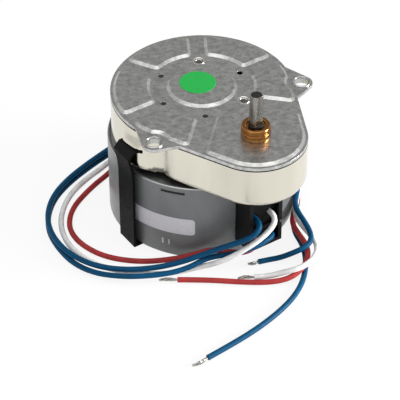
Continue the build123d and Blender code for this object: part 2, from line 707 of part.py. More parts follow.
UPPER_BLUE_ROUTE = [
    (-3.9, -36.3, 16.9), (-5.1, -37.8, 16.2), (-7.5, -37.9, 14.6), (-10.8, -35.4, 12.1), (-15.4, -30.9, 8.5),
    (-19.4, -28.5, 6.4), (-24.8, -25.6, 4.1), (-32.0, -22.4, 3.0), (-39.6, -18.2, 2.9), (-45.8, -12.2, 2.9),
    (-49.4, -4.4, 2.9), (-50.2, 3.6, 2.9), (-48.8, 11.4, 2.9), (-45.0, 18.4, 2.9), (-39.2, 24.2, 2.9),
    (-31.8, 28.2, 2.9), (-23.2, 31.2, 2.9), (-13.6, 33.8, 2.9), (-3.4, 35.4, 3.8), (7.2, 34.8, 5.2),
    (17.6, 30.4, 6.5), (26.2, 22.8, 6.95), (32.0, 12.8, 6.95), (33.6, 2.2, 6.95), (30.8, -8.4, 6.95),
    (25.2, -18.0, 6.95), (19.4, -25.4, 6.95), (16.6, -31.2, 6.2), (14.8, -36.6, 5.4), (11.5, -41.0, 5.4),
    (6.2, -41.4, 3.6), (1.2, -39.6, 1.2), (-1.5, -38.3, 0.95), (-4.2, -37.2, 0.95)]
LOWER_BLUE_ROUTE = [
    (1.7, -36.3, 9.0), (0.3, -37.7, 8.4), (-2.2, -37.8, 7.4), (-5.4, -37.2, 6.3), (-8.6, -35.3, 5.2),
    (-11.5, -32.5, 4.4), (-14.8, -29.7, 4.6), (-18.6, -28.7, 4.5), (-23.4, -28.4, 3.5), (-29.4, -26.8, 2.9),
    (-36.2, -23.8, 2.9), (-42.4, -19.4, 2.6), (-47.4, -13.0, 1.7), (-50.0, -5.0, 0.95), (-50.2, 3.6, 0.95),
    (-48.8, 11.4, 0.95), (-45.0, 18.4, 0.95), (-39.2, 24.2, 0.95), (-31.8, 28.2, 0.95), (-23.2, 31.2, 0.95),
    (-13.6, 33.8, 0.95), (-3.4, 35.4, 0.95), (7.2, 34.4, 0.95), (17.6, 29.6, 0.95), (26.0, 21.8, 0.95),
    (31.6, 12.0, 0.95), (33.2, 1.6, 0.95), (30.4, -8.6, 0.95), (24.8, -17.8, 0.95), (18.4, -25.0, 0.95),
    (14.4, -30.8, 0.95), (12.5, -36.0, 0.95), (10.2, -40.8, 0.95), (6.6, -46.0, 0.95), (1.6, -50.8, 0.95),
    (-4.4, -54.4, 0.95), (-11.6, -57.0, 0.95), (-20.0, -59.0, 0.95), (-29.6, -60.3, 0.95),
    (-39.0, -61.0, 0.95)]


def lead_points(column, row, route):
    """Points of a lead from the bottom of its way in, moved out if the can grows."""
    x, z = entry(column, row)
    start = BLOCK_Y + ENTRY_DEPTH
    points = [Vector(x, start, z), Vector(x, start - ENTRY_STRAIGHT, z)]
    for px, py, pz in route:
        grow = 1 + (CAN_R - ROUTE_CAN_R) / math.hypot(px, py)
        points.append(Vector(px * grow, py * grow, pz))
    return points


def bend_radii(points):
    """Largest arcs that the runs beside each corner leave room for."""
    radii = []
    for before, point, after in zip(points, points[1:], points[2:]):
        turn = (point - before).get_angle(after - point)
        run = min((point - before).length, (after - point).length)
        radii.append(0.45 * run / math.tan(math.radians(turn / 2)))
    return radii


def lead(name, points):
    """Insulated lead along its points, with its length and bends printed."""
    radii = bend_radii(points)
    path = FilletPolyline(*points, radius=radii)
    section = Plane(origin=path @ 0, z_dir=path % 0) * RegularPolygon(LEAD_R, LEAD_SIDES)
    shape = sweep(section, path=path)
    share = shape.volume / (section.area * path.length)
    print(f"{name}: length {path.length:.0f} mm, tightest bend {min(radii):.1f} mm, volume share {share:.4f}")
    print(f"{name}: bends {[round(r, 1) for r in radii]}")
    return shape


def bare_end(points):
    """Tinned strands beyond the end of a lead's insulation."""
    along = (points[-1] - points[-2]).normalized()
    return Plane(origin=points[-1], z_dir=along) * Cylinder(
        END_R, END_LENGTH, align=(Align.CENTER, Align.CENTER, Align.MIN))


save("gearbox_cover", cover())
save("gearbox_housing", housing())
save("lug_eyelets", eyelet(-1), eyelet(1))
save("cover_posts", *[cover_post(centre) for centre in POSTS])
save("gear_axles", *[axle(centre) for centre in (FIRST_AXLE, SECOND_AXLE, THIRD_AXLE)])
save("output_bush", output_bush())
save("lower_output_bush", lower_bush())
save("first_wheel", compound_wheel(0, FIRST_AXLE, FIRST_PHASE, PINION_TEETH))
save("second_wheel", compound_wheel(1, SECOND_AXLE, SECOND_PHASE, PINION_TEETH))
save("third_wheel", compound_wheel(2, THIRD_AXLE, THIRD_PHASE, LAST_PINION_TEETH))
save("output_gear", output_gear())
save("output_shaft", output_shaft())
save("output_collar", output_collar())
save("motor_can", can())
save("motor_end_plate", end_plate())
save("lower_pole_plate", pole_plate(0))
save("middle_pole_plate", pole_plate(1))
save("upper_pole_plate", pole_plate(2))
save("lower_bobbin", bobbin(0))
save("upper_bobbin", bobbin(1))
save("lower_winding", winding(0))
save("upper_winding", winding(1))
save("lower_rotor_bearing", lower_bearing())
save("upper_rotor_bearing", upper_bearing())
save("rotor_shaft", rotor_shaft())
save("rotor_hub", rotor_hub())
save("rotor_magnet", magnet())
save("rotor_pinion", rotor_pinion())
save("right_strap", strap())
save("left_strap", Rot(0, 0, 180) * strap())
save("terminal_block", terminal_block())
save("can_label", label())
save("cover_sticker", sticker())
for name, column, row, route in (
        ("red", 0, 0, RED_ROUTE), ("white", 1, 1, WHITE_ROUTE),
        ("upper_blue", 0, 1, UPPER_BLUE_ROUTE), ("lower_blue", 1, 0, LOWER_BLUE_ROUTE)):
    points = lead_points(column, row, route)
    save(f"{name}_lead", lead(name, points))
    save(f"{name}_lead_end", bare_end(points))
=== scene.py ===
"""Finished pieces, materials and studio for a synchronous gear motor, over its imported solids."""
import math

import bmesh
import bpy
from bpy.props import FloatProperty, FloatVectorProperty, IntProperty, PointerProperty
from mathutils import Matrix, Vector


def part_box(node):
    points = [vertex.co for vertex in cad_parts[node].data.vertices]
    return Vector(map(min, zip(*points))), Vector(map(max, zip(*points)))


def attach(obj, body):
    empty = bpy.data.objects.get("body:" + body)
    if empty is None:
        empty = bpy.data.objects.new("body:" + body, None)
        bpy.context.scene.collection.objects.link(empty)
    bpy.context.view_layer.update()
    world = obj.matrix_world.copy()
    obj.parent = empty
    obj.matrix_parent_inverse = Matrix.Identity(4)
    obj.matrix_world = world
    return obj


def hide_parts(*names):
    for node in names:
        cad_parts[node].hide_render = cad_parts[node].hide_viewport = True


bl_info = {
    "name": "Synchronous gear motor",
    "version": (1, 0, 0),
    "blender": (4, 5, 0),
    "location": "3D View > Sidebar > Gear motor",
    "description": "Finished pieces, materials and studio of a gear motor",
    "category": "Object",
}

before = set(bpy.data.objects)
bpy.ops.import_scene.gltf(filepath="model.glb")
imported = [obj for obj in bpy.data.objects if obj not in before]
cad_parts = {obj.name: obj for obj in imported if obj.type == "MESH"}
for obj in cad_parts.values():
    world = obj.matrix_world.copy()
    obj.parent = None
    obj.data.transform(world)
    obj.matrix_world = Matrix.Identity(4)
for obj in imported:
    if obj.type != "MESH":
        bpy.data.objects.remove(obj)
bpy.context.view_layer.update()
MM = 0.001
FULL_TURN = 2 * math.pi

# Places, heights and radii on the motor, millimetres
OUTPUT = (0.0, -27.9246)
LUGS = ((-26.4, -14.2974), (26.4, -14.2974))
POSTS = ((6.9, 11.9512), (6.9, -11.9512))
COVER_TOP = 42.7
PANEL_TOP = 43.4
CAN_R = 28.8
CAN_WALL = 0.8
MARKS_TOP = 8.0
STRAP_BEND = 34.1

# Side walls of the housing, millimetres out from the rotor's axis, along the wall and up from the foot
WALL_OUT = 20.0
WALL_START = -13.6
WALL_END = 8.0
WALL_STEP = 0.5
WALL_HEIGHTS = (2.2, 3.4, 4.6, 6.0, 7.2, 9.2, 10.2, 11.2, 12.4)
WALL_SLACK = 0.06
FOOT_CHAMFER = 1.2
LUG_ROOM_R = 4.0
HOLLOW_DEPTH = 1.0
HOLLOW_AT = 1.7
HOLLOW_SPREAD = 2.9
SWELL_DEPTH = 2.0

# Turns about the upright in degrees, and the steps of the label's bend
ROLLING_TURN = -34.0
LABEL_START = -174.0
LABEL_END = -128.0
LABEL_STEPS = 46

# Strands of a bare end, and their twist in radians
STRANDS = 7
STRAND_STEPS = 12
STRAND_TWIST = 4.2

# View of the photo, with its distance and shift in millimetres, and the grey backdrop's direction
VIEW_BACK = (-0.4284, -0.6370, 0.6408)
VIEW_SIDE = (0.8298, -0.5580, 0.0)
VIEW_DISTANCE = 616.33
VIEW_SHIFT = (-0.56, -0.75)
VIEW_LENS = 177.03
BACKDROP = (0.4274, 0.6358, 0.6428)
BACKDROP_GREYS = ((0.0, 0.95), (0.74, 0.95), (0.9, 0.575), (1.0, 0.53))

# Control points of the leads, millimetres, from the bottom of each way into the terminal block
RED_ROUTE = [
    (-3.7, -31.2, 9.168), (-3.7, -33.8, 9.168),
    (-4.1, -35.0, 8.8), (-5.6, -35.6, 7.3), (-8.0, -34.4, 6.2), (-10.4, -32.2, 5.8), (-12.6, -29.8, 5.7),
    (-15.1, -26.9, 5.3), (-19.0, -24.3, 3.4), (-24.4, -20.6, 1.4), (-32.8, -15.9, 0.95), (-40.4, -8.2, 0.95),
    (-43.5, 0.6, 0.95), (-43.2, 8.0, 0.95), (-40.2, 13.6, 0.95), (-35.8, 17.8, 0.95), (-30.4, 20.8, 0.95),
    (-24.6, 23.4, 0.95), (-18.6, 25.4, 0.95), (-10.0, 29.4, 0.95), (0.5, 31.2, 1.3), (11.0, 29.8, 2.2),
    (20.6, 24.8, 2.95), (28.8, 17.2, 2.95), (32.8, 7.6, 2.95), (32.2, -2.4, 2.95), (29.2, -8.2, 2.95),
    (26.8, -13.6, 2.95), (23.9, -18.2, 2.95), (20.2, -22.2, 2.95), (16.2, -25.9, 2.95), (14.0, -29.0, 2.95),
    (13.0, -32.6, 2.95), (12.1, -38.2, 2.95), (9.8, -43.0, 3.05),
    (5.4, -46.8, 3.1), (0.0, -47.4, 1.5), (-6.0, -44.9, 0.95), (-13.4, -39.6, 0.95), (-20.6, -33.6, 0.95),
    (-28.0, -28.6, 0.95)]
WHITE_ROUTE = [
    (1.9, -31.2, 16.968), (1.9, -33.8, 16.968),
    (1.8, -35.8, 16.6), (1.0, -37.2, 15.5), (-1.5, -37.8, 13.8), (-5.1, -37.4, 11.5), (-9.5, -36.3, 9.2),
    (-13.0, -34.2, 6.3), (-16.3, -31.3, 3.6), (-19.6, -28.5, 1.9), (-24.0, -26.4, 1.0), (-30.0, -24.2, 0.95),
    (-36.8, -19.7, 0.95), (-42.0, -13.6, 0.95), (-45.6, -6.9, 0.95), (-46.9, 0.2, 0.95), (-46.1, 7.0, 0.95),
    (-43.5, 13.4, 0.95), (-39.0, 19.2, 0.95), (-33.0, 23.9, 0.95), (-26.0, 27.0, 0.95), (-17.8, 29.2, 1.1),
    (-8.4, 32.4, 1.8), (1.6, 33.5, 3.2), (12.0, 31.8, 4.3), (21.8, 26.6, 4.95), (29.6, 18.2, 4.95),
    (33.2, 8.0, 4.95), (32.4, -2.4, 4.95), (29.2, -8.2, 4.95), (26.8, -13.6, 4.95), (23.9, -18.2, 4.95),
    (20.2, -22.2, 4.95), (17.0, -25.8, 4.95), (15.4, -29.4, 4.7), (15.0, -33.6, 4.1),
    (15.2, -38.6, 3.2), (13.0, -43.2, 3.8), (8.6, -47.0, 4.6), (3.2, -48.0, 4.5),
    (-1.4, -45.0, 2.7), (-4.9, -42.4, 0.95), (-8.4, -40.4, 0.95)]
UPPER_BLUE_ROUTE = [
    (-3.7, -31.2, 16.968), (-3.7, -33.8, 16.968),
    (-3.9, -36.3, 16.9), (-5.1, -37.8, 16.2), (-7.5, -37.9, 14.6), (-10.8, -35.4, 12.1), (-15.4, -30.9, 8.5),
    (-19.4, -28.5, 6.4), (-24.8, -25.6, 4.1), (-32.0, -22.4, 3.0), (-39.6, -18.2, 2.9), (-45.8, -12.2, 2.9),
    (-49.4, -4.4, 2.9), (-50.2, 3.6, 2.9), (-48.8, 11.4, 2.9), (-45.0, 18.4, 2.9), (-39.2, 24.2, 2.9),
    (-31.8, 28.2, 2.9), (-23.2, 31.2, 2.9), (-13.6, 33.8, 2.9), (-3.4, 35.4, 3.8), (7.2, 34.8, 5.2),
    (17.6, 30.4, 6.5), (26.2, 22.8, 6.95), (32.0, 12.8, 6.95), (33.4, 2.2, 6.95), (29.6, -7.4, 6.95),
    (26.8, -13.6, 6.95), (23.9, -18.2, 6.95), (20.2, -22.2, 6.95), (17.0, -25.8, 6.95), (15.7, -29.6, 6.9),
    (15.2, -33.4, 6.4), (14.6, -36.8, 5.6), (12.9, -40.2, 5.2), (9.4, -41.6, 4.9), (5.4, -40.4, 3.6),
    (2.4, -38.2, 1.7), (-0.2, -36.4, 0.95), (-3.4, -35.5, 0.95)]
LOWER_BLUE_ROUTE = [
    (1.9, -31.2, 9.168), (1.9, -33.8, 9.168),
    (1.5, -35.5, 9.3), (0.0, -36.5, 9.6), (-2.8, -37.0, 9.7), (-5.8, -36.8, 9.0), (-8.8, -35.2, 7.6),
    (-11.6, -32.6, 5.9), (-14.8, -29.9, 4.8), (-18.6, -28.7, 4.5), (-23.4, -28.4, 3.5), (-29.4, -26.8, 2.9),
    (-36.2, -23.8, 2.9), (-42.4, -19.4, 2.6), (-47.4, -13.0, 1.7), (-50.0, -5.0, 0.95), (-50.2, 3.6, 0.95),
    (-48.8, 11.4, 0.95), (-45.0, 18.4, 0.95), (-39.2, 24.2, 0.95), (-31.8, 28.2, 0.95), (-23.2, 31.2, 0.95),
    (-13.6, 33.8, 0.95), (-3.4, 35.4, 0.95), (7.2, 34.4, 0.95), (17.6, 29.6, 0.95), (26.0, 21.8, 0.95),
    (31.6, 12.0, 0.95), (33.2, 1.6, 0.95), (29.4, -8.0, 0.95), (26.8, -13.6, 0.95), (23.9, -18.2, 0.95),
    (20.2, -22.2, 0.95), (16.0, -26.4, 0.95), (13.6, -30.8, 0.95), (12.4, -36.0, 0.95), (10.2, -40.8, 0.95),
    (6.6, -46.0, 0.95), (1.6, -50.8, 0.95), (-4.4, -54.4, 0.95), (-11.6, -57.0, 0.95), (-20.0, -59.0, 0.95),
    (-29.6, -60.3, 0.95), (-39.0, -61.0, 0.95)]


def length(name, text, default):
    """Length property in metres."""
    return FloatProperty(name=name, description=text, default=default, min=0.0, unit="LENGTH", precision=5)


def colour(name, text, default):
    """Colour property."""
    return FloatVectorProperty(
        name=name, description=text, default=default, min=0.0, max=1.0, size=3, subtype="COLOR")


class MotorSizes(bpy.types.PropertyGroup):
    """Sizes that a user would change."""
    lead_diameter: length("Lead diameter", "Across the insulation of a lead", 0.0017)
    end_length: length("Bare end", "Tinned strands beyond the insulation", 0.0055)
    strand_diameter: length("Strand diameter", "Across one tinned strand", 0.0003)
    sheet_edge: length("Sheet edge", "Rounding of the cover's and housing's cut edges", 0.00016)
    panel_edge: length("Panel edge", "Rounding of the pressed panels", 0.00048)
    seam_edge: length("Seam edge", "Rounding of the housing's brim under the cover", 0.0004)
    foot_edge: length("Foot edge", "Rounding of the housing's lower edge", 0.0007)
    label_corner: length("Label corner", "Corner radius of the paper label", 0.0011)
    turn_steps: IntProperty(name="Turned steps", description="Steps round a turned piece", default=96, min=24)


class MotorColours(bpy.types.PropertyGroup):
    """Colours that a user would change."""
    cover: colour("Cover", "Plated cover sheet", (0.60, 0.60, 0.585))
    housing: colour("Housing", "Plated housing shell", (0.74, 0.71, 0.61))
    can: colour("Can", "Steel of the motor can", (0.13, 0.137, 0.14))
    bush: colour("Bush", "Sintered bronze bush", (0.34, 0.15, 0.043))
    shaft: colour("Shaft", "Ground steel shaft", (0.25, 0.24, 0.22))
    strap: colour("Strap", "Black straps", (0.004, 0.004, 0.0042))
    block: colour("Terminal block", "Black moulding", (0.004, 0.004, 0.0045))
    label: colour("Label", "Paper label", (0.55, 0.54, 0.57))
    sticker: colour("Sticker", "Green sticker", (0.016, 0.38, 0.065))
    red: colour("Red lead", "Red insulation", (0.37, 0.04, 0.04))
    white: colour("White lead", "White insulation", (0.78, 0.78, 0.77))
    blue: colour("Blue leads", "Blue insulation", (0.002, 0.06, 0.14))
    floor: colour("Floor", "Studio floor", (0.86, 0.86, 0.86))


def sizes():
    """The scene's motor sizes."""
    return bpy.context.scene.motor_sizes


def colours():
    """The scene's motor colours."""
    return bpy.context.scene.motor_colours


# Materials
class Finish:
    """A material under construction, with its shader and the place on the object."""

    def __init__(self, name, base, metal, rough):
        self.material = bpy.data.materials.new(name)
        self.material.use_nodes = True
        self.nodes = self.material.node_tree.nodes
        self.links = self.material.node_tree.links
        self.shader = self.nodes["Principled BSDF"]
        self.place = self.nodes.new("ShaderNodeTexCoord").outputs["Object"]
        self.base = Vector(base)
        self.shader.inputs["Base Color"].default_value = (*base, 1.0)
        self.shader.inputs["Metallic"].default_value = metal
        self.shader.inputs["Roughness"].default_value = rough

    def grain(self, scale, longer=(1.0, 1.0, 1.0), detail=4.0, harsh=0.55, turn=0.0):
        """Noise over the object, in features per metre, drawn out along axes turned about the upright."""
        mapping = self.nodes.new("ShaderNodeMapping")
        mapping.vector_type = "TEXTURE"
        mapping.inputs["Rotation"].default_value = (0.0, 0.0, math.radians(turn))
        mapping.inputs["Scale"].default_value = longer
        self.links.new(self.place, mapping.inputs["Vector"])
        noise = self.nodes.new("ShaderNodeTexNoise")
        noise.inputs["Scale"].default_value = scale
        noise.inputs["Detail"].default_value = detail
        noise.inputs["Roughness"].default_value = harsh
        self.links.new(mapping.outputs["Vector"], noise.inputs["Vector"])
        return noise.outputs["Fac"]

    def shade(self, source, low, high, darker, lighter):
        """Base colour between a darker and a lighter share of itself."""
        ramp = self.nodes.new("ShaderNodeValToRGB")
        ramp.color_ramp.elements[0].position = low
        ramp.color_ramp.elements[1].position = high
        ramp.color_ramp.elements[0].color = (*(self.base * darker), 1.0)
        ramp.color_ramp.elements[1].color = (*(self.base * lighter), 1.0)
        self.links.new(source, ramp.inputs["Fac"])
        self.links.new(ramp.outputs["Color"], self.shader.inputs["Base Color"])

    def gloss(self, source, low, high):
        """Roughness between two values."""
        spread = self.nodes.new("ShaderNodeMapRange")
        spread.inputs["From Min"].default_value = 0.3
        spread.inputs["From Max"].default_value = 0.7
        spread.inputs["To Min"].default_value = low
        spread.inputs["To Max"].default_value = high
        self.links.new(source, spread.inputs["Value"])
        self.links.new(spread.outputs["Result"], self.shader.inputs["Roughness"])

    def shine(self, level):
        """Strength of the clear reflection on a finish that isn't bare metal."""
        self.shader.inputs["Specular IOR Level"].default_value = level

    def relief(self, source, depth, strength):
        """Bump of a depth in metres."""
        bump = self.nodes.new("ShaderNodeBump")
        bump.inputs["Strength"].default_value = strength
        bump.inputs["Distance"].default_value = depth
        self.links.new(source, bump.inputs["Height"])
        self.links.new(bump.outputs["Normal"], self.shader.inputs["Normal"])


def plated_cover():
    """Zinc plate on the pressed cover, finely mottled with faint rolling lines."""
    finish = Finish("plated cover", colours().cover, 1.0, 0.3)
    finish.shade(finish.grain(620, (1.4, 1.0, 1.0), 8.0, 0.75, ROLLING_TURN), 0.33, 0.67, 0.58, 1.22)
    finish.gloss(finish.grain(1100, (1.7, 1.0, 1.0), 4.0, 0.65, ROLLING_TURN), 0.26, 0.36)
    finish.relief(finish.grain(700, (1.7, 1.0, 1.0), 4.0, 0.6, ROLLING_TURN), 0.00002, 0.25)
    return finish.material


def plated_housing():
    """Bright plate on the drawn housing, with soft drawing waves."""
    finish = Finish("plated housing", colours().housing, 1.0, 0.2)
    finish.shade(finish.grain(60, (1.0, 1.0, 4.0), 3.0, 0.5), 0.3, 0.7, 0.88, 1.05)
    finish.gloss(finish.grain(400, (1.0, 1.0, 4.0), 2.0), 0.15, 0.25)
    finish.relief(finish.grain(110, (1.0, 1.0, 3.0), 1.0), 0.0001, 0.2)
    return finish.material


def can_steel():
    """Satin blue-grey steel of the can."""
    finish = Finish("can steel", colours().can, 0.1, 0.42)
    finish.shader.inputs["Coat Weight"].default_value = 0.6
    finish.shader.inputs["Coat Roughness"].default_value = 0.3
    finish.shade(finish.grain(300, (1.0, 1.0, 3.0), 6.0, 0.62), 0.3, 0.7, 0.9, 1.08)
    finish.gloss(finish.grain(800, (1.0, 1.0, 2.5), 4.0), 0.36, 0.5)
    finish.relief(finish.grain(1800), 0.000012, 0.5)
    return finish.material


def plain_steel(name, base, rough, scale=1200):
    """Turned or stamped steel with fine marks."""
    finish = Finish(name, base, 1.0, rough)
    finish.shade(finish.grain(scale, (1.0, 1.0, 0.25), 4.0), 0.3, 0.7, 0.86, 1.08)
    finish.gloss(finish.grain(scale * 1.5), rough * 0.75, rough * 1.3)
    return finish.material


def ground_shaft():
    """Ground shaft with drawn streaks along it."""
    finish = Finish("ground shaft", colours().shaft, 1.0, 0.2)
    finish.shade(finish.grain(900, (1.0, 1.0, 16.0), 4.0), 0.35, 0.65, 0.6, 1.25)
    finish.gloss(finish.grain(1200, (1.0, 1.0, 8.0), 3.0), 0.15, 0.28)
    return finish.material


def sintered_bronze():
    """Oily sintered bronze with fine pores."""
    finish = Finish("sintered bronze", colours().bush, 1.0, 0.15)
    finish.shade(finish.grain(1100, (1.0, 1.0, 1.0), 5.0, 0.6), 0.3, 0.7, 0.78, 1.12)
    finish.gloss(finish.grain(1600), 0.06, 0.16)
    finish.relief(finish.grain(3800, detail=2.0), 0.000008, 0.4)
    return finish.material


def plastic(name, base, rough, shine=0.5):
    """Moulded plastic with a fine grain."""
    finish = Finish(name, base, 0.0, rough)
    finish.shine(shine)
    finish.shade(finish.grain(560), 0.3, 0.7, 0.85, 1.15)
    finish.gloss(finish.grain(1400), rough - 0.07, rough + 0.08)
    finish.relief(finish.grain(2240), 0.00001, 0.5)
    return finish.material


def black_finish():
    """Black oxide on the straps, worn a little."""
    finish = Finish("black strap", colours().strap, 0.0, 0.38)
    finish.shine(0.035)
    finish.shade(finish.grain(260, (1.0, 1.0, 2.5), 6.0, 0.65), 0.35, 0.8, 0.8, 1.6)
    finish.gloss(finish.grain(900), 0.3, 0.48)
    finish.relief(finish.grain(2000), 0.000015, 0.5)
    return finish.material


def paper(name, base, rough):
    """Paper with a faint fibre."""
    finish = Finish(name, base, 0.0, rough)
    finish.shine(0.25)
    finish.shade(finish.grain(900, detail=6.0), 0.25, 0.75, 0.94, 1.04)
    finish.relief(finish.grain(2400), 0.000012, 0.5)
    return finish.material


def insulation(name, base):
    """Soft vinyl of a lead, lightly scuffed."""
    finish = Finish(name, base, 0.0, 0.42)
    finish.shine(0.1)
    finish.shade(finish.grain(220, detail=5.0), 0.3, 0.75, 0.82, 1.16)
    finish.gloss(finish.grain(700), 0.34, 0.52)
    finish.relief(finish.grain(900), 0.00003, 0.4)
    return finish.material


def tinned_strand():
    """Bright solder on the twisted strands."""
    finish = Finish("tinned strand", (0.5, 0.485, 0.45), 1.0, 0.28)
    finish.shade(finish.grain(2200), 0.3, 0.7, 0.55, 1.2)
    finish.gloss(finish.grain(1800), 0.2, 0.4)
    return finish.material


# Meshes
def node_copy(name, weld=0.000002):
    """A solid's mesh with its corners merged and its flat faces joined."""
    bm = bmesh.new()
    bm.from_mesh(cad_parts[name].data)
    bmesh.ops.remove_doubles(bm, verts=bm.verts[:], dist=weld)
    bmesh.ops.dissolve_limit(bm, angle_limit=math.radians(0.6), verts=bm.verts[:], edges=bm.edges[:])
    return bm


def soften(bm, width, segments, least, chosen=None, clamp=True):
    """Round the chosen edges that turn by more than a number of degrees."""
    edges = [
        edge for edge in bm.edges
        if len(edge.link_faces) == 2 and edge.calc_face_angle(0.0) > math.radians(least)
        and (chosen is None or chosen(edge))]
    bmesh.ops.bevel(
        bm, geom=edges, offset=width, offset_type="OFFSET", affect="EDGES", segments=segments,
        profile=0.5, material=-1, clamp_overlap=clamp, loop_slide=True)


def lowest(edge):
    """Height of an edge's lower end."""
    return min(corner.co.z for corner in edge.verts)


def highest(edge):
    """Height of an edge's upper end."""
    return max(corner.co.z for corner in edge.verts)


def spun(profile, centre):
    """Turned piece from radius and height pairs in millimetres about an upright axis."""
    bm = bmesh.new()
    x, y = centre
    corners = [bm.verts.new(((x + radius) * MM, y * MM, height * MM)) for radius, height in profile]
    edges = [bm.edges.new(pair) for pair in zip(corners, corners[1:])]
    bmesh.ops.spin(
        bm, geom=corners + edges, cent=(x * MM, y * MM, 0.0), axis=(0.0, 0.0, 1.0), dvec=(0.0, 0.0, 0.0),
        angle=FULL_TURN, steps=sizes().turn_steps, use_merge=True)
    bmesh.ops.remove_doubles(bm, verts=bm.verts[:], dist=1e-7)
    bmesh.ops.recalc_face_normals(bm, faces=bm.faces[:])
    return bm


def spun_pair(profile, centres):
    """Two like turned pieces in one mesh."""
    bm, other = (spun(profile, centre) for centre in centres)
    mesh = bpy.data.meshes.new("second of a pair")
    other.to_mesh(mesh)
    other.free()
    bm.from_mesh(mesh)
    bpy.data.meshes.remove(mesh)
    return bm


def placed(name, data, body, nodes):
    """New object at the origin that rides on a body and stands for some solids."""
    obj = bpy.data.objects.new(name, data)
    bpy.context.scene.collection.objects.link(obj)
    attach(obj, body)
    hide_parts(*nodes)
    return obj


def piece(name, bm, material, slot_name, *nodes, body="frame", crease=40.0):
    """Finished mesh piece with smooth shading up to an angle."""
    mesh = bpy.data.meshes.new(name)
    bm.to_mesh(mesh)
    bm.free()
    mesh.materials.append(material)
    mesh.polygons.foreach_set("use_smooth", [True] * len(mesh.polygons))
    mesh.set_sharp_from_angle(angle=math.radians(crease))
    obj = placed(name, mesh, body, nodes)
    even = obj.modifiers.new("even faces", "WEIGHTED_NORMAL")
    even.keep_sharp = True
    return obj


def tint(obj, material, chosen):
    """Give the chosen faces of a piece, by middle in millimetres and normal, a second finish."""
    obj.data.materials.append(material)
    number = len(obj.data.materials) - 1
    for face in obj.data.polygons:
        if chosen(face.center / MM, face.normal):
            face.material_index = number


def paint(material, *nodes):
    """Give solids that stay as they are a material."""
    for name in nodes:
        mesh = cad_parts[name].data
        mesh.materials.clear()
        mesh.materials.append(material)


# Leads
def round_curve(name, lines, diameter, material, steps, corners):
    """Smooth round cords along lines of control points, with closed ends."""
    curve = bpy.data.curves.new(name, "CURVE")
    curve.dimensions = "3D"
    for line in lines:
        spline = curve.splines.new("NURBS")
        spline.points.add(len(line) - 1)
        for point, place in zip(spline.points, line):
            point.co = (*place, 1.0)
        spline.order_u = 3
        spline.use_endpoint_u = True
    curve.resolution_u = steps
    curve.bevel_depth = diameter / 2
    curve.bevel_resolution = corners
    curve.use_fill_caps = True
    curve.materials.append(material)
    return curve


def lead_curve(name, route, material):
    """One lead as a smooth tube through its control points."""
    line = [(x * MM, y * MM, z * MM) for x, y, z in route]
    curve = round_curve(name, [line], sizes().lead_diameter, material, 6, 4)
    return placed(name, curve, "frame", [name.replace("wire", "lead")])


def strand_line(start, along, turn, spread, reach, bend):
    """Points of one strand that winds round the end's bent axis, swells and closes towards its tip."""
    side = along.cross(Vector((0.0, 0.0, 1.0))).normalized()
    up = side.cross(along)
    points = []
    for step in range(STRAND_STEPS + 1):
        share = step / STRAND_STEPS
        angle = turn + STRAND_TWIST * share
        radius = spread * (0.8 + 0.75 * math.sin(2.6 * share) ** 2 - 0.5 * share ** 4)
        offset = side * math.cos(angle) + up * math.sin(angle)
        drift = side * (bend * reach * math.sin(3.6 * share) * share)
        points.append(start + along * (reach * (share * 1.04 - 0.04)) + drift + offset * radius)
    return points


def twisted_end(name, route, material, share, bend):
    """Tinned strands twisted together beyond the insulation, cut to a share of the bare length."""
    tip = Vector(route[-1]) * MM
    along = (tip - Vector(route[-2]) * MM).normalized()
    strand = sizes().strand_diameter
    outer = STRANDS - 1
    lines = []
    for number in range(STRANDS):
        spread = strand * 0.96 if number < outer else 0.0
        reach = sizes().end_length * share * (1.0 - 0.07 * (number % 3))
        lines.append(strand_line(tip, along, number * FULL_TURN / outer, spread, reach, bend))
    curve = round_curve(name, lines, strand, material, 3, 2)
    return placed(name, curve, "frame", [name.replace("wire", "lead")])


class GEARMOTOR_OT_leads(bpy.types.Operator):
    """Add the four free leads with their tinned ends"""
    bl_idname = "gearmotor.leads"
    bl_label = "Leads"

    def execute(self, context):
        own = colours()
        blue = insulation("blue insulation", own.blue)
        tin = tinned_strand()
        # Name, route, colour, finish, length in metres, then the share and the bend of the bare end
        leads = (
            ("red_wire", RED_ROUTE, "red", insulation("red insulation", own.red), 0.266, 1.0, 0.08),
            ("white_wire", WHITE_ROUTE, "white", insulation("white insulation", own.white), 0.266, 0.9, 0.12),
            ("upper_blue_wire", UPPER_BLUE_ROUTE, "blue", blue, 0.258, 0.6, -0.12),
            ("lower_blue_wire", LOWER_BLUE_ROUTE, "blue", blue, 0.301, 1.0, -0.1))
        for name, route, colour_name, material, reach, share, bend in leads:
            wire = lead_curve(name, route, material)
            end = twisted_end(f"{name}_end", route, tin, share, bend)
        return {"FINISHED"}


class GEARMOTOR_OT_cover(bpy.types.Operator):
    """Add the pressed cover"""
    bl_idname = "gearmotor.cover"
    bl_label = "Cover"

    def execute(self, context):
        bm = node_copy("gearbox_cover", 0.000075)
        top = (COVER_TOP - 0.2) * MM
        soften(bm, sizes().panel_edge, 4, 20.0, lambda edge: lowest(edge) > top)
        soften(bm, sizes().sheet_edge, 2, 50.0)
        piece("pressed_cover", bm, plated_cover(), "cover_sheet", "gearbox_cover")
        return {"FINISHED"}


def ease(share):
    """Smooth step from nought to one."""
    share = min(max(share, 0.0), 1.0)
    return share * share * (3.0 - 2.0 * share)


def lug_hollow(run):
    """How far the wall is drawn in beside a lug, by the way along the wall."""
    return HOLLOW_DEPTH * math.exp(-((run - HOLLOW_AT) / HOLLOW_SPREAD) ** 2)


